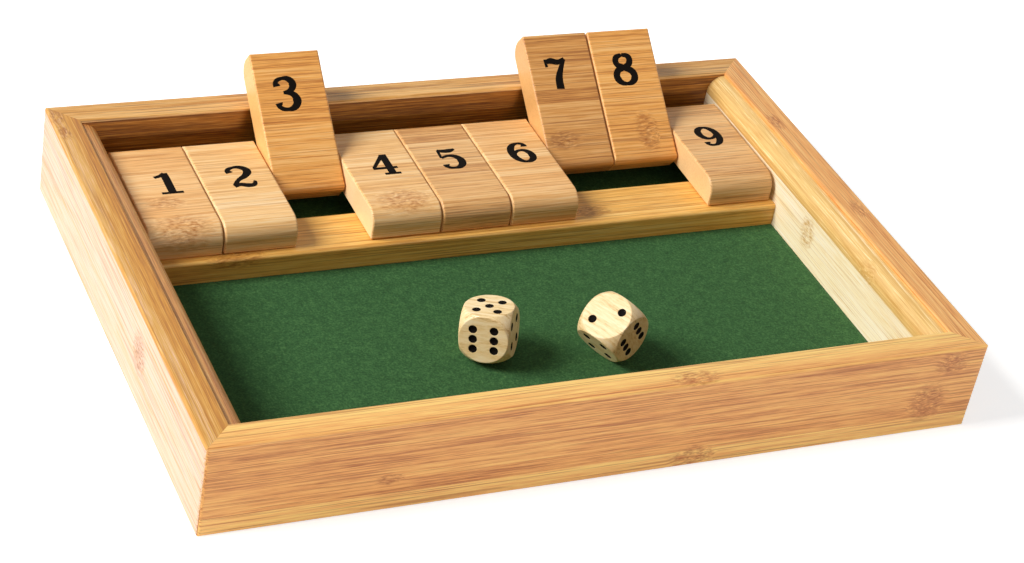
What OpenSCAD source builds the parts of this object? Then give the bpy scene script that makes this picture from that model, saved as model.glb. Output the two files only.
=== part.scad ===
// Shut the box: a mitred bamboo tray with a felt floor, nine flip tiles on one
// steel rod and two wooden dice.
// Millimetres. +Z is up and the player sits on the -Y side. The origin is on
// the table, under the middle of the case.

/* [Case] */
// Width of the case, left to right
case_w = 290; // [275:1:300]
// Depth of the case, front to back
case_d = 200; // [190:1:212]
// Height of the case
case_h = 36; // [34:0.5:40]
// Thickness of the four rails
rail_t = 11; // [9:0.5:13]
// Rounding on the long edges of the rails
rail_ease = 1; // [0.4:0.1:1.6]
// Rounding on the four upright corners of the case
corner_ease = 1.6; // [0.5:0.1:3]

/* [Floor] */
// Thickness of the floor panel
panel_t = 4; // [3:0.5:5]
// Height of the panel's underside above the table
panel_lift = 2.5; // [1:0.5:4]
// Depth of the groove that holds the panel
groove_depth = 4; // [3:0.5:6]
// Thickness of the felt
felt_t = 1; // [0.6:0.1:1.4]

/* [Liners] */
// Thickness of the two boards that line the side rails
liner_t = 6.5; // [5:0.5:7]
// Drop from the top of the case to the top of the liners
liner_drop = 1.5; // [0.5:0.5:3]

/* [Rest bar] */
// Distance from the middle of the case to the bar's front face
bar_front = 22; // [18:0.5:24]
// Width of the bar, front to back
bar_w = 22; // [16:0.5:24]
// Height of the bar above the felt
bar_h = 8.9; // [8:0.1:9.2]
// Rounding on the top edges of the bar
bar_ease = 1.3; // [0.5:0.1:2]

/* [Tiles] */
// Spacing of the tiles along the rod
tile_pitch = 28.05; // [26.5:0.05:28.2]
// Gap between two neighbouring tiles
tile_gap = 0.6; // [0.4:0.05:1.2]
// Thickness of a tile
tile_t = 11.2; // [10:0.1:11.4]
// Reach from the rod to the free end
tile_reach = 42; // [40:0.1:44]
// Rounding on the upper cross edge of the free end
nose_round = 6.5; // [5:0.1:8]
// Reach from the rod to the square hinged end
tile_heel = 13.2; // [11.5:0.1:14]
// Rounding on the two cross edges of the hinged end
heel_ease = 2.8; // [2.8:0.1:4]
// Rounding on the long edges of a tile
tile_ease = 0.8; // [0.4:0.1:1.2]

/* [Hinge rod] */
// Diameter of the rod
rod_d = 3.2; // [2.5:0.1:4]
// Radial clearance of the rod in its bores
rod_clear = 0.05; // [0.02:0.01:0.1]
// Distance from the middle of the case to the rod
rod_y = 67.3; // [66:0.1:68.5]
// Height of the rod above the table
rod_z = 24; // [23.7:0.1:24.8]
// Height of the rod above the middle of a level tile
rod_off = 1.5; // [0:0.1:2]

/* [Dice] */
// Width across the flats of a die
die_size = 18; // [15:0.5:18]
// Diameter of the ball that rounds the corners, as a share of the width
die_ball = 1.4; // [1.3:0.01:1.5]
// Distance from the middle of a face to its outer pips, as a share of the width
pip_offset = 0.21; // [0.18:0.01:0.24]
// Diameter of a pip
pip_d = 3.2; // [2.4:0.1:3.6]
// Depth of a pip
pip_depth = 0.5; // [0.3:0.1:0.8]

/* [Hidden] */
$fn = 64;
EPS = 0.01;

// Inside of the case
inner_x = case_w / 2 - rail_t;
inner_y = case_d / 2 - rail_t;
liner_x = inner_x - liner_t;
panel_top = panel_lift + panel_t;
felt_top = panel_top + felt_t;
liner_top = case_h - liner_drop;
bar_top = felt_top + bar_h;
// A laid or glued sheet stops this far short of the walls round it
fit_gap = 0.1;

// Tile section
tile_w = tile_pitch - tile_gap;
half_t = tile_t / 2;
// Air left where a tile comes to rest, so that wood just meets wood
rest_gap = 0.1;
// A tile that is down rests the lower edge of its free end on the bar
rest_u = tile_reach - tile_ease;
rest_v = half_t + rod_off - tile_ease;
drop = rod_z - bar_top - tile_ease - rest_gap;
down_angle = atan2(rest_v, rest_u) - asin(drop / norm([rest_u, rest_v]));
// A tile that is up has gone over backwards and leans on the back rail's edge
lean_dy = inner_y + rail_ease - rod_y;
lean_dz = case_h - rail_ease - rod_z;
lean_reach = norm([lean_dy, lean_dz]);
lean_touch = half_t - rod_off + rail_ease + rest_gap;
up_angle = 180 - atan2(lean_dz, lean_dy) - asin(lean_touch / lean_reach);
// Tiles 3, 7 and 8 are up, as in a game under way
TILE_UP = [false, false, true, false, false, false, true, true, false];

// Dice, caught rolling across the felt: where each one is and how it is turned
die_air = 0.05;
DIE_XY = [[-20.1, -35.8], [23.9, -44.9]];
DIE_TURN = [[-7.1, -10.1, -35.7], [36.7, 0, -64.2]];
// Faces of each die along its own +Z, +X and +Y
DIE_FACES = [[5, 4, 1], [2, 6, 3]];
ball_r = die_size * die_ball / 2;
pip_r = pip_d / 2;
pip_ball_r = (pip_r * pip_r + pip_depth * pip_depth) / (2 * pip_depth);

WOOD_RAIL = "#e0ab66";
WOOD_LINER = "#efcf94";
WOOD_BAR = "#e3b46c";
WOOD_TILE = "#e6be80";
WOOD_TILE_TAN = "#d8a56a";
WOOD_PANEL = "#c9a06a";
WOOD_DIE = "#f0dfb4";
FELT_GREEN = "#2f5c3a";
ROD_STEEL = "#b9bcc0";
// Tiles 5, 7 and 9 are cut from a browner strip
TILE_TAN = [5, 7, 9];

// Rectangle from the origin with each corner rounded by its own radius:
// bottom left, bottom right, top right, top left. A radius of 0 is a square corner.
module eased_rect(w, h, r) {
    corners = [[0, 0], [w, 0], [w, h], [0, h]];
    inward = [[1, 1], [-1, 1], [-1, -1], [1, -1]];
    difference() {
        square([w, h]);
        for (i = [0:3])
            if (r[i] > 0)
                translate(corners[i])
                    corner_waste(r[i], inward[i]);
    }
}

// What a quarter round takes off a corner at the origin
module corner_waste(r, inward) {
    difference() {
        translate([inward[0] > 0 ? -EPS : -r, inward[1] > 0 ? -EPS : -r])
            square(r + EPS);
        translate(inward * r)
            circle(r);
    }
}

// Stand an XY profile up in the YZ plane and run it along X, centred
module along_x(length) {
    translate([-length / 2, 0, 0])
        rotate([90, 0, 90])
            linear_extrude(length)
                children();
}

// Footprint of the case with its upright corners sanded round
module case_footprint() {
    translate([-case_w / 2, -case_d / 2])
        eased_rect(case_w, case_d, [1, 1, 1, 1] * corner_ease);
}

// Rail section: outer face on the left, inner face with the panel groove on the right
module rail_profile() {
    difference() {
        eased_rect(rail_t, case_h, [1, 0, 1, 1] * rail_ease);
        translate([rail_t - groove_depth, panel_lift])
            square([groove_depth + EPS, panel_t]);
    }
}

// Straight rail along X with its outer face on the XZ plane and both ends mitred
module mitred_rail(length) {
    intersection() {
        along_x(length)
            rail_profile();
        translate([0, 0, -EPS])
            linear_extrude(case_h + 2 * EPS)
                polygon([
                    [-length / 2, 0],
                    [length / 2, 0],
                    [length / 2 - rail_t, rail_t],
                    [-length / 2 + rail_t, rail_t]
                ]);
    }
}

// Rail turned to its side of the case: 0 front, 90 right, 180 back, 270 left
module case_rail(side, length, reach) {
    color(WOOD_RAIL)
        intersection() {
            rotate([0, 0, side])
                translate([0, -reach, 0])
                    mitred_rail(length);
            linear_extrude(case_h)
                case_footprint();
        }
}

module front_rail() {
    case_rail(0, case_w, case_d / 2);
}

module back_rail() {
    case_rail(180, case_w, case_d / 2);
}

module left_rail() {
    case_rail(270, case_d, case_w / 2);
}

module right_rail() {
    case_rail(90, case_d, case_w / 2);
}

// Board against a side rail: quarter-round along its inner top edge, and a
// bore near the back that holds one end of the hinge rod. side is -1 or 1.
module liner(side) {
    color(WOOD_LINER)
        difference() {
            translate([side * inner_x, inner_y, panel_top])
                mirror([side > 0 ? 1 : 0, 0, 0])
                    rotate([90, 0, 0])
                        linear_extrude(2 * inner_y)
                            eased_rect(liner_t, liner_top - panel_top, [0, 0, liner_t - 0.1, 0]);
            translate([side * inner_x, rod_y, rod_z])
                rotate([0, 90, 0])
                    cylinder(h = 3 * liner_t, r = rod_d / 2 + rod_clear, center = true);
        }
}

module left_liner() {
    liner(-1);
}

module right_liner() {
    liner(1);
}

// Panel that closes the case from below, let into the grooves of the rails
module base_panel() {
    size_x = 2 * (inner_x + groove_depth - 2 * fit_gap);
    size_y = 2 * (inner_y + groove_depth - 2 * fit_gap);
    color(WOOD_PANEL)
        translate([-size_x / 2, -size_y / 2, panel_lift])
            cube([size_x, size_y, panel_t]);
}

// Felt over the whole floor, from liner to liner
module felt_sheet() {
    size_x = 2 * (liner_x - fit_gap);
    size_y = 2 * (inner_y - fit_gap);
    color(FELT_GREEN)
        translate([-size_x / 2, -size_y / 2, panel_top])
            cube([size_x, size_y, felt_t]);
}

// Bar across the case that the free ends of the tiles drop on
module rest_bar() {
    color(WOOD_BAR)
        translate([0, bar_front, felt_top])
            along_x(2 * (liner_x - fit_gap))
                eased_rect(bar_w, bar_h, [0, 0, 1, 1] * bar_ease);
}

// Rod through both liners and every tile, kept in by the side rails
module hinge_rod() {
    color(ROD_STEEL)
        translate([0, rod_y, rod_z])
            rotate([0, 90, 0])
                cylinder(h = 2 * inner_x, r = rod_d / 2, center = true);
}

// Section of a tile across its length, centred in X, from the height 0 upwards
module tile_section(height, r) {
    translate([-tile_w / 2, 0])
        eased_rect(tile_w, height, r * tile_ease);
}

// Large round on the upper cross edge of the free end, with rounded rims
module tile_nose() {
    translate([0, nose_round - tile_reach, half_t - nose_round])
        rotate([180, -90, 0])
            rotate_extrude(angle = 90)
                translate([0, -tile_w / 2])
                    eased_rect(nose_round, tile_w, [0, 1, 1, 0] * tile_ease);
}

// Upright face of the free end, below the large round
module tile_toe() {
    toe = tile_t - nose_round;
    intersection() {
        translate([0, -tile_reach, -half_t])
            along_x(tile_w)
                eased_rect(nose_round, toe, [1, 0, 0, 0] * tile_ease);
        translate([0, nose_round - tile_reach, -half_t])
            rotate([90, 0, 0])
                linear_extrude(nose_round)
                    tile_section(toe, [1, 1, 0, 0]);
        translate([-tile_w / 2, -tile_reach, -half_t])
            linear_extrude(toe)
                eased_rect(tile_w, nose_round, [1, 1, 0, 0] * tile_ease);
    }
}

// Straight part of a tile, from the hinged end to where the round begins
module tile_slab() {
    slab = tile_reach - nose_round + tile_heel;
    intersection() {
        translate([0, tile_heel - slab, -half_t])
            along_x(tile_w)
                eased_rect(slab, tile_t, [0, 1, 1, 0] * heel_ease);
        translate([0, tile_heel, -half_t])
            rotate([90, 0, 0])
                linear_extrude(slab)
                    tile_section(tile_t, [1, 1, 1, 1]);
    }
}

// Tile lying level, free end towards the player, with the rod's axis on X
module tile_blank() {
    difference() {
        translate([0, 0, -rod_off])
            union() {
                tile_slab();
                tile_nose();
                tile_toe();
            }
        rotate([0, 90, 0])
            cylinder(h = tile_w + 2, r = rod_d / 2 + rod_clear, center = true);
    }
}

// Tile of the given number on the rod, down on the bar or up against the back rail
module tile(number) {
    angle = TILE_UP[number - 1] ? up_angle : down_angle;
    tan_strip = len([for (n = TILE_TAN) if (n == number) n]) > 0;
    color(tan_strip ? WOOD_TILE_TAN : WOOD_TILE)
        translate([(number - 5) * tile_pitch, rod_y, rod_z])
            rotate([-angle, 0, 0])
                tile_blank();
}

// Places of the pips on a face with the given value, in steps of pip_offset
function pips(value) = concat(
    value % 2 == 1 ? [[0, 0]] : [],
    value > 1 ? [[1, 1], [-1, -1]] : [],
    value > 3 ? [[1, -1], [-1, 1]] : [],
    value == 6 ? [[0, 1], [0, -1]] : []
);

// Hollows for the pips of one face, on the face whose normal is +Z
module pip_hollows(value) {
    for (p = pips(value))
        translate([
            p[0] * pip_offset * die_size,
            p[1] * pip_offset * die_size,
            die_size / 2 + pip_ball_r - pip_depth
        ])
            sphere(pip_ball_r, $fn = 32);
}

// Die centred on the origin; opposite faces add up to seven
module die_blank(faces) {
    difference() {
        intersection() {
            cube(die_size, center = true);
            sphere(ball_r);
        }
        pip_hollows(faces[0]);
        rotate([180, 0, 0])
            pip_hollows(7 - faces[0]);
        rotate([0, 90, 0])
            pip_hollows(faces[1]);
        rotate([0, -90, 0])
            pip_hollows(7 - faces[1]);
        rotate([-90, 0, 0])
            rotate([0, 0, 90])
                pip_hollows(faces[2]);
        rotate([90, 0, 0])
            rotate([0, 0, 90])
                pip_hollows(7 - faces[2]);
    }
}

// Height of a turned die's centre above what its lowest point touches. That
// point lies on the ball, or on the rim where the ball meets a face.
function die_height(turn) =
    let (
        s = [sin(turn[0]), sin(turn[1])],
        c = [cos(turn[0]), cos(turn[1])],
        down = [s[1], c[1] * s[0], c[1] * c[0]],
        size = [abs(down[0]), abs(down[1]), abs(down[2])],
        top = max(size),
        flat = die_size / 2,
        rim_r = sqrt(ball_r * ball_r - flat * flat)
    )
    top * ball_r < flat ? ball_r : top * flat + sqrt(1 - top * top) * rim_r;

module die(index) {
    color(WOOD_DIE)
        translate([
            DIE_XY[index][0],
            DIE_XY[index][1],
            felt_top + die_air + die_height(DIE_TURN[index])
        ])
            rotate(DIE_TURN[index])
                die_blank(DIE_FACES[index]);
}

echo(down_angle = down_angle, up_angle = up_angle, travel = up_angle - down_angle);

front_rail();
back_rail();
left_rail();
right_rail();
left_liner();
right_liner();
base_panel();
felt_sheet();
rest_bar();
hinge_rod();
tile(1);  // tile_1
tile(2);  // tile_2
tile(3);  // tile_3
tile(4);  // tile_4
tile(5);  // tile_5
tile(6);  // tile_6
tile(7);  // tile_7
tile(8);  // tile_8
tile(9);  // tile_9
die(0);  // die_1
die(1);  // die_2
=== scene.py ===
# %% [markdown]
# # A shut the box game
#
# This lesson dresses a wooden game for its picture: a shallow mitred bamboo tray with a green
# felt floor, nine flip tiles on a hidden rod, and two wooden dice caught rolling. The tray,
# tiles and dice arrive as exact solids, so most of the lesson is about making bamboo look like
# bamboo. The pieces made here are the felt, the numbers and the black in the pips.

# %% Load the frame
import math

import bmesh
import bpy
from mathutils import Euler, Matrix, Vector, noise


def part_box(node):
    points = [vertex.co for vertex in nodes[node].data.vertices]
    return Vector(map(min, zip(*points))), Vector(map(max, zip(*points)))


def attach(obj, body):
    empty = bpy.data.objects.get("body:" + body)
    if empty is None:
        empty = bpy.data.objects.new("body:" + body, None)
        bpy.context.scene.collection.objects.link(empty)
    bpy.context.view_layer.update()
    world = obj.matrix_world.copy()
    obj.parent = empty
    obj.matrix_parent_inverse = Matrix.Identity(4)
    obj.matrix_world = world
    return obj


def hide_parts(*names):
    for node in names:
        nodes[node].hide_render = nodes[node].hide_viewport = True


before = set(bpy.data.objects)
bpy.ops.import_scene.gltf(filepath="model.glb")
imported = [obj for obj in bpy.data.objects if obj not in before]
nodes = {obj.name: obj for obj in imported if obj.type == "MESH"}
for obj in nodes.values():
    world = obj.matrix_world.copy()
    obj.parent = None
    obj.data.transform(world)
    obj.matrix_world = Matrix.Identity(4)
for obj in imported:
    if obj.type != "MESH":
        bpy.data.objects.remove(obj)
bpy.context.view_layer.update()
MM = 0.001

# %% [markdown]
# ## The camera
#
# The picture is taken from the front left, a little more than half a metre up, with a short
# telephoto lens, and the camera was held about eleven degrees off level. A camera object looks
# along its own -Z with +Y up in the picture, so its turn is written here as three rows: the
# directions of picture right, picture up and backwards.

# %% Camera
camera_data = bpy.data.cameras.new("tray_camera")
camera_data.sensor_width = 36
camera_data.lens = 87.33
camera_data.clip_start = 0.02
camera_data.clip_end = 30
camera = bpy.data.objects.new("tray_camera", camera_data)
bpy.context.scene.collection.objects.link(camera)
turn = Matrix((
    (0.9084, -0.3850, 0.1627),
    (0.0996, 0.5774, 0.8104),
    (-0.4060, -0.7200, 0.5628),
)).transposed().to_4x4()
camera.matrix_world = Matrix.Translation((-0.36451, -0.65591, 0.52284)) @ turn
bpy.context.scene.camera = camera
bpy.context.scene.view_settings.view_transform = "Standard"
print("camera at", tuple(round(v, 3) for v in camera.location))

# %% [markdown]
# ## Three helpers for materials
#
# Colours are easiest to pick as the hex values of a screen, but shaders calculate in linear
# light, so one function converts them. A second one adds a shader node: its settings are
# written as keywords, and each input takes either a value or the output that feeds it. The
# third starts a material that has no nodes but its output.

# %% Colour and node helpers
def linear(hex_colour):
    """Turns an sRGB hex colour into the linear one that shaders expect."""
    parts = [int(hex_colour[i:i + 2], 16) / 255 for i in (1, 3, 5)]
    return [c / 12.92 if c < 0.04045 else ((c + 0.055) / 1.055) ** 2.4 for c in parts] + [1]


def add(tree, kind, inputs=None, stops=None, **settings):
    """Adds one node. inputs maps a socket to a value or an output; stops are a ramp's colours."""
    node = tree.nodes.new("ShaderNode" + kind)
    for name, value in settings.items():
        setattr(node, name, value)
    for socket, value in (inputs or {}).items():
        if isinstance(value, bpy.types.NodeSocket):
            tree.links.new(value, node.inputs[socket])
        else:
            node.inputs[socket].default_value = value
    if stops:
        band = node.color_ramp.elements
        while len(band) < len(stops):
            band.new(0.5)
        for element, (place, colour) in zip(band, stops):
            element.position = place
            element.color = linear(colour)
    return node


def new_material(name):
    """An empty node material: its tree and its output node."""
    material = bpy.data.materials.new(name)
    material.use_nodes = True
    material.node_tree.nodes.clear()
    output = material.node_tree.nodes.new("ShaderNodeOutputMaterial")
    return material, material.node_tree, output


print("bamboo honey in linear light:", [round(c, 3) for c in linear("#e0ab66")])

# %% [markdown]
# ## Floor, backdrop and light
#
# The game stands on a white sheet. A sheet that is lit just short of white needs a little help
# to look as clean as a studio's: for rays that come straight from the camera, from a mirror or
# through glass, some glow is added, so the sheet is white and still takes the tray's shadow.
# The light that falls on the game is not changed by that.

# %% Floor
def seen_rays(tree):
    """1 for rays from the camera, from a mirror or through glass, and 0 for all others."""
    rays = add(tree, "LightPath")
    seen = add(tree, "Math", {0: rays.outputs["Is Camera Ray"], 1: rays.outputs["Is Glossy Ray"]},
               operation="MAXIMUM")
    seen = add(tree, "Math", {0: seen.outputs[0], 1: rays.outputs["Is Transmission Ray"]},
               operation="MAXIMUM")
    return seen.outputs[0]


sheet = bmesh.new()
bmesh.ops.create_grid(sheet, x_segments=1, y_segments=1, size=4)
floor_mesh = bpy.data.meshes.new("studio_floor")
sheet.to_mesh(floor_mesh)
sheet.free()
floor = bpy.data.objects.new("studio_floor", floor_mesh)
bpy.context.scene.collection.objects.link(floor)

paper, tree, output = new_material("studio_paper")
glow = add(tree, "Math", {0: seen_rays(tree), 1: 0.66}, operation="MULTIPLY")
coords = add(tree, "TexCoord")
# Faint clouds 25 mm wide, as the pulp settled
fleck = add(tree, "TexNoise", {"Vector": coords.outputs["Object"], "Scale": 40.0, "Detail": 3.0})
tone = add(tree, "ValToRGB", {"Fac": fleck.outputs["Fac"]}, [(0.3, "#e4e3e0"), (0.7, "#e8e7e4")])
matt = add(tree, "BsdfDiffuse", {"Color": tone.outputs["Color"], "Roughness": 0.6})
shine = add(tree, "Emission", {"Strength": glow.outputs[0]})
both = add(tree, "AddShader", {0: matt.outputs[0], 1: shine.outputs[0]})
tree.links.new(both.outputs[0], output.inputs["Surface"])
floor_mesh.materials.append(paper)
print("floor is", round(floor.dimensions.x, 1), "m wide")

# %% [markdown]
# A big soft lamp high on the left and slightly behind the tray gives the direction that the
# dice's shadows show. A weak one low in front lifts the front rail. The world fills the rest
# evenly. Together they light a level surface so that its colour renders as it is written.

# %% Light
world = bpy.data.worlds.new("studio")
bpy.context.scene.world = world
world.use_nodes = True
tree = world.node_tree
tree.nodes.clear()
room = add(tree, "Background", {"Color": linear("#f4f7fb"), "Strength": 0.24})
white = add(tree, "Background", {"Color": (1, 1, 1, 1), "Strength": 1.0})
mix = add(tree, "MixShader", {0: seen_rays(tree), 1: room.outputs[0], 2: white.outputs[0]})
world_output = tree.nodes.new("ShaderNodeOutputWorld")
tree.links.new(mix.outputs[0], world_output.inputs["Surface"])


def soft_lamp(name, place, aim, width, watts):
    """A square area lamp at place, turned to face aim."""
    data = bpy.data.lights.new(name, "AREA")
    data.size = width
    data.energy = watts
    lamp = bpy.data.objects.new(name, data)
    lamp.location = place
    lamp.rotation_euler = (Vector(aim) - Vector(place)).to_track_quat("-Z", "Y").to_euler()
    bpy.context.scene.collection.objects.link(lamp)
    print(name, "of", watts, "W,", round((Vector(aim) - Vector(place)).length, 2), "m away")


soft_lamp("window_left", (-2.3, 0.45, 1.92), (0, 0, 0), width=1.3, watts=113)
soft_lamp("front_fill", (0.2, -2.4, 0.17), (0, 0, 0.02), width=0.3, watts=17.5)

# %% [markdown]
# ## Bamboo
#
# A bamboo board is glued up from split strips of the stalk. Three things make it bamboo and not
# wood: straight parallel fibres with no rings, strips that differ a little in tone, and the
# nodes, the joints of the stalk, where the fibres curl and darken in a short band. The board is
# planed, sanded and given a satin lacquer.
#
# The pattern is built in millimetres in the board's own directions: a Mapping node brings a
# piece's coordinates to its own middle, with X along the fibres. Fibres could be drawn with a
# wave or a striped picture. A noise that changes slowly along the board and fast across it is
# used here, because it never repeats and has no straight edge.

# %% Own directions and fibres
def own_directions(tree, coords, middle, turn):
    """Millimetres from the middle of a piece, along the piece's own directions."""
    own = add(tree, "Mapping", {"Vector": coords.outputs["Object"], "Location": middle,
                                "Rotation": turn, "Scale": (MM, MM, MM)}, vector_type="TEXTURE")
    return own.outputs[0]


def drawn_out(tree, place, per_mm, **settings):
    """A noise with its own size in each direction: per_mm is 1 over that size."""
    scaled = add(tree, "VectorMath", {0: place, 1: per_mm}, operation="MULTIPLY")
    return add(tree, "TexNoise", {"Vector": scaled.outputs[0], "Scale": 1.0, **settings})


print("fibres 0.3 mm wide and 12 mm long change", round(1 / 0.3, 1), "and", round(1 / 12, 2),
      "times per mm")

# %% [markdown]
# Dividing the two cross directions by the size of a strip and rounding down gives each strip
# its own pair of whole numbers. White noise turns a pair into a random colour, which sets the
# strip's tone and shifts its fibres, so that no fibre runs on into the next strip. Rounding
# matters: white noise gives another colour at the least change of what goes in.

# %% Strips
LONGER_THAN_A_BOARD = 1000


def split_into_strips(tree, own, strips, start, seed):
    """White noise with one random colour for each strip."""
    cell = add(tree, "VectorMath", {0: own, 1: (LONGER_THAN_A_BOARD, -start[0], -start[1])},
               operation="ADD")
    cell = add(tree, "VectorMath", {0: cell.outputs[0],
                                    1: (5 * LONGER_THAN_A_BOARD, strips[0], strips[1])},
               operation="DIVIDE")
    cell = add(tree, "VectorMath", {0: cell.outputs[0]}, operation="FLOOR")
    cell = add(tree, "VectorMath", {0: cell.outputs[0], 1: (seed, 0, 0)}, operation="ADD")
    return add(tree, "TexWhiteNoise", {"Vector": cell.outputs[0]}, noise_dimensions="3D")


print("a strip is one cell from", -LONGER_THAN_A_BOARD, "to", 4 * LONGER_THAN_A_BOARD, "mm")

# %% [markdown]
# A node mark is an oval patch. In it the fibres lean over sideways, and short brown dashes show
# where they were cut through. The patch is soft at its rim, so that it fades into the board.

# %% Node marks
def near_a_node(tree, own, knots):
    """How near a node mark is: 1 in its middle, 0 outside. Each knot is a middle and a half
    size in millimetres."""
    near = 0.0
    for middle, half in knots:
        inside = add(tree, "VectorMath", {0: own, 1: middle}, operation="SUBTRACT")
        inside = add(tree, "VectorMath", {0: inside.outputs[0], 1: half}, operation="DIVIDE")
        inside = add(tree, "VectorMath", {0: inside.outputs[0]}, operation="LENGTH")
        inside = add(tree, "MapRange", {"Value": inside.outputs["Value"], "From Min": 1.2,
                                        "From Max": 0.5}, interpolation_type="SMOOTHSTEP")
        near = add(tree, "Math", {0: inside.outputs["Result"], 1: near},
                   operation="MAXIMUM").outputs[0]
    return near


def bend_fibres(tree, fibres, own, near):
    """Near a node mark the fibres lean over by a millimetre or two."""
    curl = add(tree, "TexNoise", {"Vector": own, "Scale": 0.13, "Detail": 0.0})
    push = add(tree, "VectorMath", {0: curl.outputs["Color"], 1: (0.5, 0.5, 0.5)},
               operation="SUBTRACT")
    push = add(tree, "VectorMath", {0: push.outputs[0], "Scale": near}, operation="SCALE")
    return add(tree, "VectorMath", {0: push.outputs[0], 1: (6, 4, 4), 2: fibres},
               operation="MULTIPLY_ADD").outputs[0]


def darken_node(tree, own, near, dark):
    """Brown dashes 2 mm long and 0.8 mm wide, added to how dark the board is."""
    dash = drawn_out(tree, own, (0.45, 1.3, 1.3), Detail=2.0)
    dash = add(tree, "MapRange", {"Value": dash.outputs["Fac"], "From Min": 0.36,
                                  "From Max": 0.68, "To Max": 0.95})
    dash = add(tree, "Math", {0: dash.outputs["Result"], 1: near}, operation="MULTIPLY")
    return add(tree, "Math", {0: dark, 1: dash.outputs[0]}, operation="MAXIMUM").outputs[0]


print("a node mark fades out between 0.5 and 1.2 times its half size")

# %% [markdown]
# Where a piece is sawn across its fibres, the cut bundles show only as faint dots, so that face
# is plainer than the others. It is also painted paler, a painted highlight for the strong light
# from the left that falls on the tiles' sides. The tiles show such ends at both sides. The ends
# could have a material of their own, but the way a face looks tells an end from a side as well,
# and then one material does for the whole tile.

# %% Sawn ends
def plain_ends_painted_pale(tree, coords, level, lines):
    """Makes the lines fainter on faces that look along X and paints those faces paler, a painted
    highlight for the light from the left on the tiles' sides.
    """
    facing = add(tree, "SeparateXYZ", {0: coords.outputs["Normal"]})
    facing = add(tree, "Math", {0: facing.outputs["X"]}, operation="ABSOLUTE")
    keep = add(tree, "MapRange", {"Value": facing.outputs[0], "From Min": 0.75,
                                  "From Max": 0.95, "To Min": 1.0, "To Max": 0.25})
    # Painted highlight: faces along X are lifted towards the pale end of the ramp
    painted_pale_lift = add(tree, "Math", {0: keep.outputs["Result"], 1: -0.45, 2: 0.45},
               operation="MULTIPLY_ADD")
    level = add(tree, "Math", {0: level, 1: keep.outputs["Result"], 2: painted_pale_lift.outputs[0]},
                operation="MULTIPLY_ADD")
    lines = add(tree, "Math", {0: lines, 1: keep.outputs["Result"]}, operation="MULTIPLY")
    return level.outputs[0], lines.outputs[0]


print("a face more than", round(math.degrees(math.acos(0.95))), "degrees off X keeps some fibre")

# %% [markdown]
# The board is put together from those parts. Four drawn out noises make the fibres, from fine
# dashes to broad bands. Three of them are added up to a level that picks a tone from a ramp of
# four, dark to pale. The fourth is cut off hard and leaves the red brown lines. The lacquer is a
# thin coat over it, and the fibres stand up a few hundredths of a millimetre.

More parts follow.
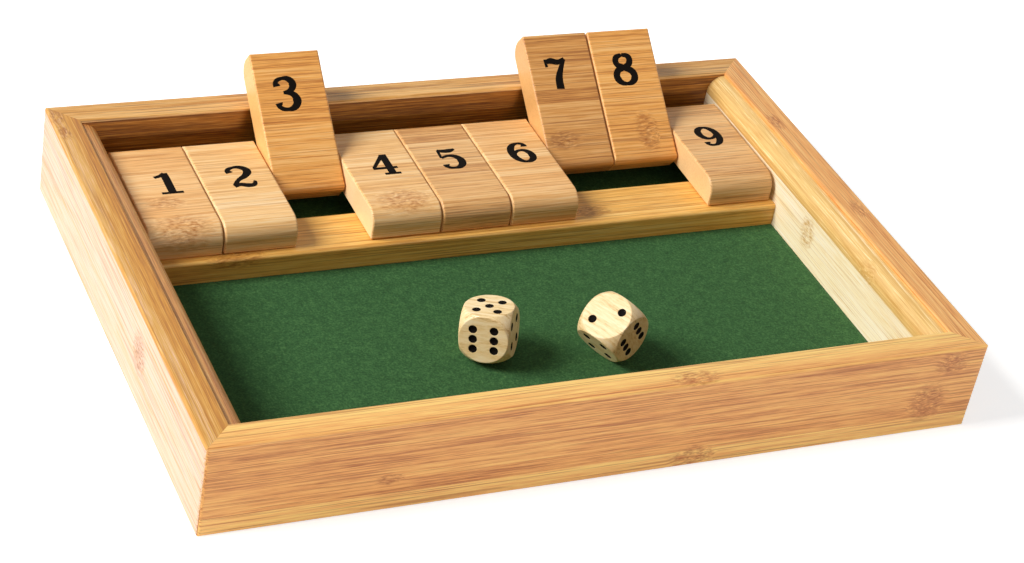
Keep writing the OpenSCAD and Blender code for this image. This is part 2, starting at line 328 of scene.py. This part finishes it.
# %% Bamboo boards
def bamboo(name, tones, middle, turn=(0, 0, 0), *, strips, seed, knots, start=(0, 0),
           layers=0.3, satin=0.42, contrast=1.0, sawn_ends=False):
    """Laminated bamboo. tones run from dark to pale. strips are a strip's two widths and start
    is where the first one begins, from the middle of the board. layers is how much the strips
    differ in tone, and sawn_ends is for pieces whose ends show."""
    material, tree, output = new_material(name)
    coords = add(tree, "TexCoord")
    own = own_directions(tree, coords, middle, turn)
    strip = split_into_strips(tree, own, strips, start, seed)
    fibres = add(tree, "VectorMath", {0: strip.outputs["Color"], 1: (900, 40, 40), 2: own},
                 operation="MULTIPLY_ADD").outputs[0]
    near = near_a_node(tree, own, knots)
    if knots:
        fibres = bend_fibres(tree, fibres, own, near)
    # Fibre bundles are 0.3 mm wide and show as dashes some 12 mm long
    fine = drawn_out(tree, fibres, (0.08, 3.2, 3.2), Detail=2.0, Roughness=0.7)
    # Streaks a millimetre wide and some 80 mm long
    streak = drawn_out(tree, fibres, (0.012, 1.1, 1.1), Detail=1.0)
    # Bands 4 to 5 mm wide, where the stalk's wall changes from dense to soft
    broad = drawn_out(tree, fibres, (0.005, 0.22, 0.22), Detail=1.0)
    # Cut bundles: lines 0.5 mm wide and 20 to 60 mm long, closer together near a node
    line = drawn_out(tree, fibres, (0.022, 1.9, 1.9), Detail=1.0)
    line = add(tree, "Math", {0: near, 1: 0.06, 2: line.outputs["Fac"]},
               operation="MULTIPLY_ADD")
    lines = add(tree, "MapRange", {"Value": line.outputs[0], "From Min": 0.54,
                                   "From Max": 0.66}).outputs["Result"]
    # The noises lie round 0.5, so half of their shares is taken off: a plain spot is level 0
    level = add(tree, "Math", {0: strip.outputs["Value"], 1: layers, 2: -0.5 * layers - 1.15},
                operation="MULTIPLY_ADD").outputs[0]
    for pattern, share in ((broad, 0.35), (streak, 0.75), (fine, 1.2)):
        level = add(tree, "Math", {0: pattern.outputs["Fac"], 1: share, 2: level},
                    operation="MULTIPLY_ADD").outputs[0]
    # The tiles' sides get a paler tone here, painted highlight for the light from the left
    if sawn_ends:
        level, lines = plain_ends_painted_pale(tree, coords, level, lines)
    level = add(tree, "Math", {0: level, 1: contrast, 2: 0.5}, operation="MULTIPLY_ADD")
    colour = add(tree, "ValToRGB", {"Fac": level.outputs[0]},
                 [(0.05, tones[0]), (0.4, tones[1]), (0.6, tones[2]), (0.95, tones[3])])
    dark = add(tree, "Math", {0: lines, 1: 0.6 * contrast}, operation="MULTIPLY").outputs[0]
    if knots:
        dark = darken_node(tree, own, near, dark)
    # A Mix node has sockets for every kind of data: 6, 7 and output 2 are the ones for colours
    body = add(tree, "Mix", {"Factor": dark, 6: colour.outputs["Color"], 7: linear(tones[0])},
               data_type="RGBA")
    # The hard fibres polish up more than the soft wood between them
    gloss = add(tree, "MapRange", {"Value": fine.outputs["Fac"], "To Min": satin - 0.07,
                                   "To Max": satin + 0.1})
    relief = add(tree, "Math", {0: lines, 1: -0.6, 2: fine.outputs["Fac"]},
                 operation="MULTIPLY_ADD")
    bump = add(tree, "Bump", {"Height": relief.outputs[0], "Strength": 0.4,
                              "Distance": 0.08 * MM})
    shader = add(tree, "BsdfPrincipled", {"Base Color": body.outputs[2],
                                          "Roughness": gloss.outputs["Result"],
                                          "Normal": bump.outputs[0], "IOR": 1.5,
                                          "Coat Weight": 0.06, "Coat Roughness": 0.25})
    tree.links.new(shader.outputs[0], output.inputs["Surface"])
    return material


print("a board's tones stand at 0.05, 0.4, 0.6 and 0.95 on its ramp")

# %% [markdown]
# ### Rails, liners, bar and floor
#
# The rails are steamed bamboo, a warm orange brown, two or three layers thick. The front rail
# shows its strips best: pale golden ones along the top, a wide darker one, and a narrow pale one
# below, with node marks near its right end. The left rail's outer face is painted pale, nearly
# white, as a painted highlight for the strong light from the left. The back rail is painted
# darker than the others, as painted shade for the narrow slot behind the tiles. The right liner
# comes from an unsteamed stalk, cream with a golden strip along its rounded edge, and is painted
# paler still, a painted highlight for the lamp that it faces. The side rails and the liners run
# from front to back, so their pattern is turned a quarter circle.
#
# How wide the strips are and where they begin follows the real boards. Which of them come out
# pale or dark is up to the seed, so each board's seed was chosen by trying several.

# %% Case materials
RAIL = ("#a85a20", "#e39a50", "#efae62", "#f9cf88")
FRONT = ("#a55820", "#e59d54", "#f1b263", "#fdd27a")
# Darker than the other rails: painted shade for the narrow slot behind the tiles
BACK_PAINTED_SHADE = ("#703c0e", "#b57426", "#cd9040", "#eab871")
# Paler than the wood: partly painted highlight, for the lamp that the right liner faces
LINER_PAINTED_HIGHLIGHT = ("#c8964c", "#e6bf76", "#fbe6b8", "#fff4da")
BAR = ("#ab681f", "#eaab4e", "#f6be60", "#fcd488")
# Its palest tone is a painted highlight, for the strong light on the left rail's outer face
LEFT_PAINTED_HIGHLIGHT = ("#9c5a24", "#cd8d36", "#dca755", "#f3cbb3")
QUARTER = (0, 0, math.radians(90))


def centre_of(name):
    """The middle of a CAD solid's box."""
    low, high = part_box(name)
    return (low + high) / 2


def dress(name, material):
    """Gives a CAD solid its finish."""
    data = nodes[name].data
    data.materials.clear()
    data.materials.append(material)
    print(name, "<-", material.name)


dress("front_rail", bamboo(
    "front_rail_bamboo", FRONT, centre_of("front_rail"),
    strips=(3.7, 28), start=(-5.7, -11), seed=287, layers=0.8,
    knots=[((125, -5.5, -4), (8, 5, 9)), ((131, -5.5, 12), (7, 4, 5)),
           ((32, -5.5, -14), (9, 4, 5)), ((28, -2, 18), (10, 4, 3)),
           ((-81, -5.5, -5), (5, 3, 2.5))]))
# Dark tones and strips that differ more stand for the shade in the slot behind the tiles: painted
# shade
dress("back_rail", bamboo(
    "back_rail_bamboo_painted_shade", BACK_PAINTED_SHADE, centre_of("back_rail"),
    strips=(5.5, 25), start=(-5.7, -8), seed=15, layers=0.6,
    knots=[((-70, 5.5, 3), (7, 4, 8)), ((85, 5.5, -12), (7, 4, 6))]))
# Strips that differ fully and a seed that turns the outer face pale: a painted highlight for the
# strong light from the left
dress("left_rail", bamboo(
    "left_rail_bamboo_painted_highlight", LEFT_PAINTED_HIGHLIGHT, centre_of("left_rail"), QUARTER,
    strips=(3.7, 24), start=(-5.9, -7), seed=100, layers=1.0, contrast=0.8,
    knots=[((93, 3, 18), (6, 3, 3)), ((82, 2.4, 18), (5, 2.5, 3)),
           ((-30, 5.5, 2), (7, 3, 9))]))
dress("right_rail", bamboo(
    "right_rail_bamboo", RAIL, centre_of("right_rail"), QUARTER,
    strips=(5.5, 23), start=(-5.7, -6), seed=102,
    knots=[((-12, -1, 18), (6, 3, 3)), ((51, 2, 18), (6, 3, 3)),
           ((20, -5.5, -4), (7, 3, 9))]))
dress("left_liner", bamboo(
    "left_liner_bamboo", RAIL, centre_of("left_liner"), QUARTER,
    strips=(8, 15), seed=47, knots=[((-40, -3, 0), (6, 4, 8))]))
# Its cream is partly painted highlight, for the lamp that this liner faces
dress("right_liner", bamboo(
    "right_liner_bamboo_painted_highlight", LINER_PAINTED_HIGHLIGHT, centre_of("right_liner"), QUARTER,
    strips=(8, 21), start=(-4, -14.3), seed=87, layers=0.7, contrast=0.75,
    knots=[((-2, 3.3, -1), (5, 4, 7)), ((-43, 3.3, 10), (6, 4, 4))]))
dress("rest_bar", bamboo(
    "rest_bar_bamboo", BAR, centre_of("rest_bar"),
    strips=(7.5, 12), start=(-11.3, -6), seed=67,
    knots=[((-94, -10, 4), (11, 5, 4)), ((50, -3, 4), (8, 4, 3))]))
dress("base_panel", bamboo(
    "floor_board_bamboo", RAIL, centre_of("base_panel"),
    strips=(18, 9), start=(-9, -4.5), seed=71, satin=0.55,
    knots=[((-60, 30, 0), (8, 9, 5)), ((70, -42, 0), (8, 9, 5))]))

# %% [markdown]
# ### Tiles
#
# Each tile is sawn from a board across its length, so the fibres run across the tile, from side
# to side. Tiles come from different boards: honey, a paler one, gold, and two browner ones.
# Tiles 3, 7 and 8 are up. Each pattern is turned with its tile, or the fibres would cut through
# it at a slant.

# %% Tile materials
PITCH = 28.05 * MM
ROD = Vector((0, 67.3, 24.0)) * MM
# How far a tile is turned about the rod when it lies on the bar and when it leans on the rail
LYING = math.radians(0.557)
LEANING = math.radians(-142.25)
UP = (3, 7, 8)
HONEY = ("#b57232", "#ecb06a", "#f4c384", "#fbdba8")
PALE = ("#b97638", "#efb973", "#f7cb8e", "#fce1b3")
GOLD = ("#a25c20", "#e69f4b", "#efaf5f", "#f8c681")
TAN = ("#8a4d1c", "#ca8941", "#d89b54", "#e8b473")
DUSK = ("#a0642f", "#dfa562", "#e9b676", "#f2ca92")
TONES = {1: HONEY, 2: PALE, 3: GOLD, 4: PALE, 5: DUSK, 6: HONEY, 7: TAN, 8: GOLD, 9: DUSK}
TILE_KNOTS = {1: [((-1, -37, 1), (13, 7, 8)), ((-3, -23, 4), (8, 4, 4))],
              4: [((1, -34, 3), (12, 7, 6))], 7: [((-6, 2, -7), (8, 4, 3))],
              8: [((3, 1, -7), (5, 9, 3))]}


def tile_matrix(number):
    """From a level tile with its rod on the origin to its place on the rod."""
    slope = LEANING if number in UP else LYING
    at = ROD + Vector(((number - 5) * PITCH, 0, 0))
    return Matrix.Translation(at) @ Matrix.Rotation(slope, 4, "X")


for number in range(1, 10):
    place = tile_matrix(number)
    # The strips begin elsewhere on each tile, or they would line up along the row
    strip_start = (number % 4, -15)
    # The paler boards show their fibres less
    fibre_contrast = 0.8 if TONES[number] in (HONEY, PALE) else 1.0
    dress(f"tile_{number}", bamboo(
        f"tile_{number}_bamboo", TONES[number], place.to_translation(), place.to_euler(),
        strips=(5.5, 30), start=strip_start, seed=100 + 17 * number,
        knots=TILE_KNOTS.get(number, ()), contrast=fibre_contrast, sawn_ends=True))

# %% [markdown]
# ### Rod
#
# The rod is drawn steel wire, 3.2 mm thick. Drawing leaves fine scratches along it, which make
# its highlight dull across and keep it long. They are finer than 0.01 mm and are drawn 0.1 mm
# wide. An anisotropic metal could stretch the highlight, but a noise drawn out along the rod
# shows the scratches too. Only the narrow gaps between the tiles let the rod be seen.

# %% Rod material
steel, tree, output = new_material("rod_drawn_steel")
coords = add(tree, "TexCoord")
drawn = add(tree, "Mapping", {"Vector": coords.outputs["Object"], "Scale": (90, 9000, 9000)})
scratch = add(tree, "TexNoise", {"Vector": drawn.outputs[0], "Scale": 1.0, "Detail": 2.0})
tone = add(tree, "ValToRGB", {"Fac": scratch.outputs["Fac"]}, [(0.3, "#a9abad"), (0.7, "#c9cacb")])
dull = add(tree, "MapRange", {"Value": scratch.outputs["Fac"], "To Min": 0.22, "To Max": 0.42})
shader = add(tree, "BsdfPrincipled", {"Base Color": tone.outputs["Color"], "Metallic": 1.0,
                                      "Roughness": dull.outputs["Result"]})
tree.links.new(shader.outputs[0], output.inputs["Surface"])
dress("hinge_rod", steel)

# %% [markdown]
# ## Felt
#
# The floor is lined with a millimetre of pressed green felt, glued down. Felt isn't woven: its
# fibres lie every way, so it looks mottled, has no direction and shows a soft bright rim at a
# low angle. A cloth simulation would leave a glued sheet as flat as it was, so the sheet is a
# fine grid whose top is raised and lowered by a few hundredths of a millimetre, with its edges
# turned down to the board.

# %% Felt sheet
low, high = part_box("felt_sheet")
size = high - low
felt = bmesh.new()
bmesh.ops.create_grid(felt, x_segments=200, y_segments=140, size=0.5,
                      matrix=Matrix.Diagonal((size.x, size.y, 1, 1)))
rim = [edge for edge in felt.edges if edge.is_boundary]
skirt = bmesh.ops.extrude_edge_only(felt, edges=rim)["geom"]
bmesh.ops.translate(felt, vec=(0, 0, -size.z), verts=[v for v in skirt if hasattr(v, "co")])
bmesh.ops.holes_fill(felt, edges=[edge for edge in felt.edges if edge.is_boundary])
bmesh.ops.recalc_face_normals(felt, faces=felt.faces)
bmesh.ops.translate(felt, vec=Vector(((low.x + high.x) / 2, (low.y + high.y) / 2, high.z)),
                    verts=felt.verts)
TUFTS_PER_METRE = 260
# Every point of the top is sunk by 0.01 to 0.09 mm
for v in felt.verts:
    if v.co.z > high.z - size.z / 2:
        lie = noise.fractal(v.co * TUFTS_PER_METRE, 0.8, 2.0, 3)
        v.co.z -= (0.05 + 0.04 * max(-1, min(1, lie))) * MM
felt_mesh = bpy.data.meshes.new("green_felt_floor")
felt.to_mesh(felt_mesh)
felt.free()
felt_floor = bpy.data.objects.new("green_felt_floor", felt_mesh)
bpy.context.scene.collection.objects.link(felt_floor)
felt_mesh.shade_smooth()
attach(felt_floor, "case")
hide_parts("felt_sheet")
print("felt:", len(felt_mesh.polygons), "faces")

# %% [markdown]
# Wool fibres scatter light without a highlight, so the felt is rough, has little specular light
# and takes a sheen in a paler green. Hair could be grown on it, but pressed fibres lie too flat
# to show one by one. Two noises mottle it instead, for tufts and for clumps of fibres.

# %% Felt material
wool, tree, output = new_material("pressed_felt_green")
coords = add(tree, "TexCoord")
# Tufts of a few millimetres, as the fibres were laid before pressing
tuft = add(tree, "TexNoise", {"Vector": coords.outputs["Object"], "Scale": TUFTS_PER_METRE,
                              "Detail": 5.0, "Roughness": 0.75})
# Single fibres are 0.03 mm thick; their clumps are drawn 0.8 mm wide
clump = add(tree, "TexNoise", {"Vector": coords.outputs["Object"], "Scale": 1300.0, "Detail": 2.0,
                               "Roughness": 0.7})
mottle = add(tree, "Math", {0: tuft.outputs["Fac"], 1: 0.4, 2: -0.02}, operation="MULTIPLY_ADD")
mottle = add(tree, "Math", {0: clump.outputs["Fac"], 1: 0.65, 2: mottle.outputs[0]},
             operation="MULTIPLY_ADD")
tone = add(tree, "ValToRGB", {"Fac": mottle.outputs[0]},
           [(0.28, "#1c3a1d"), (0.5, "#30562e"), (0.75, "#507c45")])
nap = add(tree, "Bump", {"Height": mottle.outputs[0], "Strength": 0.7, "Distance": 0.25 * MM})
shader = add(tree, "BsdfPrincipled", {"Base Color": tone.outputs["Color"], "Roughness": 0.95,
                                      "Normal": nap.outputs[0], "Sheen Weight": 0.35,
                                      "Sheen Roughness": 0.45,
                                      "Sheen Tint": linear("#7fae7c"),
                                      "Specular IOR Level": 0.2})
tree.links.new(shader.outputs[0], output.inputs["Surface"])
felt_mesh.materials.append(wool)
print("felt tufts are", round(1000 / TUFTS_PER_METRE, 1), "mm wide")

# %% [markdown]
# ## Numbers
#
# Each tile carries its number on both faces, because turning a tile over shows its other side.
# The numerals are a bold slab serif, 14 mm tall: strokes that swell and thin, flat feet and
# round ball ends. They are made as a sign painter would, as strokes. A Bezier curve carries a
# radius at each point, so a round bevel on it swells and thins. Pressed nearly flat, the tube
# becomes a thin layer of ink that stands a hair above the wood. A text object would be quicker,
# but the one font that every Blender has is a plain one.

# %% Numeral strokes, in millimetres from the middle of the figure: x, y, half width
STROKES = {
    1: [[(0.5, 6.6, 1.2), (0.5, 3.0, 1.35), (0.5, -6.6, 1.35)],
        [(0.6, 6.2, 0.9), (-1.2, 4.9, 0.75), (-3.4, 4.1, 0.65)],
        [(-3.3, -6.4, 0.6), (4.2, -6.4, 0.6)]],
    2: [[(-3.0, 3.0, 1.3), (-3.4, 4.6, 0.9), (-1.0, 6.4, 0.65), (2.1, 5.7, 1.15),
         (3.2, 3.3, 1.45), (1.9, 0.7, 1.15), (-1.4, -2.2, 0.75), (-3.5, -5.6, 0.8)],
        [(-3.7, -5.9, 0.9), (-1.6, -5.0, 0.95), (1.2, -5.9, 1.15), (3.3, -5.6, 0.95),
         (4.3, -3.2, 0.5)]],
    3: [[(-2.9, 3.2, 1.3), (-3.1, 4.9, 0.85), (-0.6, 6.4, 0.6), (2.1, 5.6, 1.15),
         (2.9, 3.6, 1.35), (1.7, 1.3, 0.95), (-0.9, 0.5, 0.5)],
        [(-0.9, 0.5, 0.5), (2.2, -0.2, 1.05), (3.5, -2.9, 1.5), (2.4, -5.5, 1.15),
         (-0.3, -6.4, 0.65), (-3.0, -5.3, 0.85), (-3.3, -3.6, 1.35)]],
    4: [[(1.3, 6.0, 0.8), (-4.0, -2.0, 0.6)],
        [(-4.5, -2.5, 0.65), (4.6, -2.5, 0.65)],
        [(1.7, 6.7, 1.3), (1.7, -6.6, 1.35)],
        [(-1.3, -6.4, 0.6), (4.7, -6.4, 0.6)]],
    5: [[(-3.2, 6.4, 0.5), (-1.4, 5.5, 1.0), (1.2, 5.5, 1.1), (3.4, 6.3, 0.5)],
        [(-3.0, 6.2, 0.55), (-3.3, 0.8, 0.5)],
        [(-3.2, 0.9, 0.55), (-0.3, 2.0, 0.7), (2.5, 0.7, 1.2), (3.4, -2.2, 1.5),
         (2.2, -5.3, 1.15), (-0.5, -6.4, 0.65), (-3.0, -5.2, 0.85), (-3.1, -3.7, 1.3)]],
    6: [[(2.7, 3.9, 1.25), (2.7, 5.4, 0.85), (0.6, 6.4, 0.6), (-2.3, 4.3, 1.2),
         (-3.4, 0.0, 1.45), (-2.6, -4.3, 1.25), (0.0, -6.4, 0.65), (2.6, -5.2, 1.15),
         (3.5, -2.3, 1.4), (2.5, 0.6, 1.1), (0.3, 1.6, 0.65), (-2.1, 0.2, 0.7),
         (-3.0, -1.8, 0.7)]],
    7: [[(-3.8, 6.6, 0.5), (-3.5, 3.2, 0.55)],
        [(-3.8, 5.2, 0.7), (-1.6, 5.8, 1.15), (1.2, 5.1, 1.0), (3.9, 6.4, 0.6)],
        [(3.9, 6.3, 0.6), (1.9, 2.2, 0.95), (0.4, -2.2, 1.4), (0.2, -6.5, 1.5)]],
    8: [[(0.0, 6.4, 0.65), (2.6, 5.2, 1.15), (2.5, 2.6, 1.2), (0.0, 0.7, 0.9),
         (-3.0, -0.9, 1.2), (-3.3, -4.2, 1.35), (0.0, -6.4, 0.65), (3.2, -4.6, 1.3),
         (3.2, -1.6, 1.35), (0.0, 0.7, 1.1), (-2.6, 2.4, 1.15), (-2.5, 5.0, 1.15),
         (0.0, 6.4, 0.65)]],
}
STROKES[9] = [[(-x, -y, r) for x, y, r in stroke] for stroke in STROKES[6]]
# The figures come out this much broader, lower and bolder than they are listed
BROADER = 1.08
LOWER = 0.96
BOLDER = 1.14
# How flat the strokes are pressed
INK_FLAT = 0.02


def paint_stroke(points):
    """One swelling stroke as a mesh lying on the XY plane."""
    data = bpy.data.curves.new("stroke", "CURVE")
    data.dimensions = "3D"
    data.bevel_depth = MM
    data.bevel_resolution = 3
    data.use_fill_caps = True
    data.resolution_u = 8
    line = data.splines.new("BEZIER")
    line.bezier_points.add(len(points) - 1)
    for point, (x, y, r) in zip(line.bezier_points, points):
        point.co = (x * BROADER * MM, y * LOWER * MM, 0)
        point.radius = r * BOLDER
        point.handle_left_type = point.handle_right_type = "AUTO"
    brush = bpy.data.objects.new("stroke", data)
    bpy.context.scene.collection.objects.link(brush)
    bpy.context.view_layer.update()
    finished = brush.evaluated_get(bpy.context.evaluated_depsgraph_get())
    mesh = bpy.data.meshes.new_from_object(finished)
    bpy.data.objects.remove(brush)
    bpy.data.curves.remove(data)
    return mesh


def paint_figure(target, number, place):
    """Paints a numeral into the bmesh target, on the XY plane of place."""
    for points in STROKES[number]:
        mesh = paint_stroke(points)
        before = set(target.verts)
        target.from_mesh(mesh)
        fresh = [v for v in target.verts if v not in before]
        # A curve's caps come loose from its tube, so their rims are joined to it
        bmesh.ops.remove_doubles(target, verts=fresh, dist=0.001 * MM)
        fresh = [v for v in target.verts if v not in before]
        bmesh.ops.scale(target, vec=(1, 1, INK_FLAT), verts=fresh)
        bmesh.ops.transform(target, matrix=place, verts=fresh)
        bpy.data.meshes.remove(mesh)


print("strokes in each figure:", {number: len(strokes) for number, strokes in STROKES.items()})

# %% [markdown]
# Printing ink on bare bamboo is matt and nearly black. It sinks in unevenly, so it is a little
# browner and rougher in patches. One fine noise sets both, so that the browner spots are also
# the rougher ones.

# %% Ink
ink, tree, output = new_material("printed_black_ink")
coords = add(tree, "TexCoord")
# The patches are half a millimetre wide
sunk = add(tree, "TexNoise", {"Vector": coords.outputs["Object"], "Scale": 2200.0, "Detail": 3.0})
tone = add(tree, "ValToRGB", {"Fac": sunk.outputs["Fac"]}, [(0.3, "#040302"), (0.75, "#140d08")])
dull = add(tree, "MapRange", {"Value": sunk.outputs["Fac"], "To Min": 0.6, "To Max": 0.85})
shader = add(tree, "BsdfPrincipled", {"Base Color": tone.outputs["Color"],
                                      "Roughness": dull.outputs["Result"], "IOR": 1.45,
                                      "Specular IOR Level": 0.08})
tree.links.new(shader.outputs[0], output.inputs["Surface"])

print("ink reflects", round(linear("#140d08")[0], 4), "of the red light at most")

# %% [markdown]
# Each figure is painted twice on its tile. On the face that shows when the tile is down it
# stands near the rod. On the other face it stands nearer the free end, with its head towards it,
# so that it is upright to the player when the tile is up.

# %% Numbers on both faces of the nine tiles
# Heights of the two faces from the rod, and how far along the tile each number stands
LYING_FACE = 4.1 * MM
LEANING_FACE = -7.1 * MM
LYING_CENTRE = -11.0 * MM
LEANING_CENTRE = -25.3 * MM
# Each tile was stamped by hand, so its number stands a little to one side
OFF_CENTRE = {1: 1.4, 2: 1.2, 3: -2.2, 4: 1.0, 5: 0.5, 6: 1.7, 7: -2.4, 8: -1.0, 9: 0.0}


def new_piece(name, shape, material, body):
    """Turns a bmesh into a finished object that rides on a body."""
    mesh = bpy.data.meshes.new(name)
    shape.to_mesh(mesh)
    shape.free()
    mesh.materials.append(material)
    mesh.shade_smooth()
    piece = bpy.data.objects.new(name, mesh)
    bpy.context.scene.collection.objects.link(piece)
    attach(piece, body)
    print(name, len(mesh.polygons), "faces")


for number in range(1, 10):
    figures = bmesh.new()
    aside = OFF_CENTRE[number] * MM
    on_top = Matrix.Translation((aside, LYING_CENTRE, LYING_FACE))
    # Turned half round about X, so that it faces the other way with its head at the free end
    below = Matrix.Translation((aside, LEANING_CENTRE, LEANING_FACE))
    below = below @ Matrix.Rotation(math.pi, 4, "X")
    for face in (on_top, below):
        paint_figure(figures, number, tile_matrix(number) @ face)
    new_piece(f"tile_{number}_figures", figures, ink, f"tile_{number}")

# %% [markdown]
# ## Dice
#
# The dice are sawn from pale beech and tumbled. They stay the exact solids that they are, a cube
# cut by a ball, with a hollow for each pip. Beech has short brown flecks, the rays, in a fine
# even ground with faint growth bands. A wave texture could draw the bands, but its rings are too
# even, so bands and rays are noises drawn out along the grain.

# %% Dice material
# How each die is turned, in degrees about X, Y and Z, and its values on its own +Z, +X and +Y
DICE = {
    "die_1": dict(turn=(-7.1, -10.1, -35.7), faces=(5, 4, 1)),
    "die_2": dict(turn=(36.7, 0, -64.2), faces=(2, 6, 3)),
}


def beech(name, middle, turn, seed):
    """Beech with its grain along the die's own X and a thin clear lacquer."""
    material, tree, output = new_material(name)
    own = own_directions(tree, add(tree, "TexCoord"), middle, turn)
    own = add(tree, "VectorMath", {0: own, 1: (0, seed, 2 * seed)}, operation="ADD").outputs[0]
    # Growth bands 1 to 3 mm apart, bent a little
    band = drawn_out(tree, own, (0.06, 0.8, 0.3), Detail=3.0, Distortion=0.6)
    # Rays 2 mm long and 0.4 mm wide, coarser than the real ones
    ray = drawn_out(tree, own, (0.5, 2.6, 2.6), Detail=2.0)
    level = add(tree, "Math", {0: ray.outputs["Fac"], 1: 0.5, 2: -0.25}, operation="MULTIPLY_ADD")
    level = add(tree, "Math", {0: band.outputs["Fac"], 1: level.outputs[0]}, operation="ADD")
    tone = add(tree, "ValToRGB", {"Fac": level.outputs[0]},
               [(0.2, "#b98b4c"), (0.4, "#edcc90"), (0.6, "#f8deac"), (0.9, "#fdebca")])
    # Tumbling wears the rims of the faces round, by half a millimetre
    worn = add(tree, "Bevel", {"Radius": 0.6 * MM}, samples=6)
    bump = add(tree, "Bump", {"Height": ray.outputs["Fac"], "Strength": 0.2,
                              "Distance": 0.05 * MM, "Normal": worn.outputs[0]})
    shader = add(tree, "BsdfPrincipled", {"Base Color": tone.outputs["Color"], "Roughness": 0.48,
                                          "Normal": bump.outputs[0], "Coat Weight": 0.1})
    tree.links.new(shader.outputs[0], output.inputs["Surface"])
    return material


turned = {name: Euler([math.radians(a) for a in die["turn"]]) for name, die in DICE.items()}
for name, die in DICE.items():
    dress(name, beech(f"{name}_beech", centre_of(name), turned[name], seed=13 * die["faces"][0]))

# %% [markdown]
# The hollows are painted black. The paint could be black spots in the beech, but they would
# bleed over the rims, so it is a thin coat. It is made from a ball that fits its hollow, cut off
# at the face, so only its bowl is left, and laid into each of the 21 hollows of a die.

# %% Pips
DIE_SIZE = 18 * MM
PIP_STEP = 0.21 * DIE_SIZE
PIP_RADIUS = 1.6 * MM
PIP_DEPTH = 0.5 * MM
PAINT = 0.03 * MM
# The radius of the ball that cuts a hollow of this width and depth
BALL = (PIP_RADIUS ** 2 + PIP_DEPTH ** 2) / (2 * PIP_DEPTH)


def pip_places(value):
    """Where a face of this value has its pips, in steps from the middle."""
    places = [(0, 0)] if value % 2 else []
    places += [(1, 1), (-1, -1)] if value > 1 else []
    places += [(1, -1), (-1, 1)] if value > 3 else []
    return places + ([(0, 1), (0, -1)] if value == 6 else [])


def paint_pip(target, place):
    """A black bowl in the hollow whose mouth is centred on place's origin."""
    before = set(target.verts)
    bmesh.ops.create_uvsphere(target, u_segments=24, v_segments=48, radius=BALL - PAINT,
                              matrix=Matrix.Translation((0, 0, BALL - PIP_DEPTH)))
    fresh = [v for v in target.verts if v not in before]
    geometry = fresh + list({e for v in fresh for e in v.link_edges})
    geometry += list({f for v in fresh for f in v.link_faces})
    # The cut is just under the face, so that no paint stands out of the wood
    bmesh.ops.bisect_plane(target, geom=geometry, plane_co=(0, 0, -0.01 * MM),
                           plane_no=(0, 0, 1), clear_outer=True)
    fresh = [v for v in target.verts if v not in before]
    # The bowl is seen from inside, so its faces are turned over
    bmesh.ops.reverse_faces(target, faces=list({f for v in fresh for f in v.link_faces}))
    bmesh.ops.transform(target, matrix=place, verts=fresh)


def turn_about(axis, degrees):
    """A turn about one axis through the origin."""
    return Matrix.Rotation(math.radians(degrees), 4, axis)


# The turn from +Z to each face of a die, in the order +Z, -Z, +X, -X, +Y, -Y. The quarter turns
# about Z set which way the pips of a two, three or six run.
FACE_TURNS = [Matrix.Identity(4), turn_about("X", 180),
              turn_about("Y", 90), turn_about("Y", -90),
              turn_about("X", -90) @ turn_about("Z", 90),
              turn_about("X", 90) @ turn_about("Z", 90)]

for name, die in DICE.items():
    placed = Matrix.Translation(centre_of(name)) @ turned[name].to_matrix().to_4x4()
    # Opposite faces add up to seven
    values = [v for value in die["faces"] for v in (value, 7 - value)]
    pips = bmesh.new()
    for value, face in zip(values, FACE_TURNS):
        for across, up in pip_places(value):
            mouth = Matrix.Translation((across * PIP_STEP, up * PIP_STEP, DIE_SIZE / 2))
            paint_pip(pips, placed @ face @ mouth)
    new_piece(f"{name}_pips", pips, ink, name)
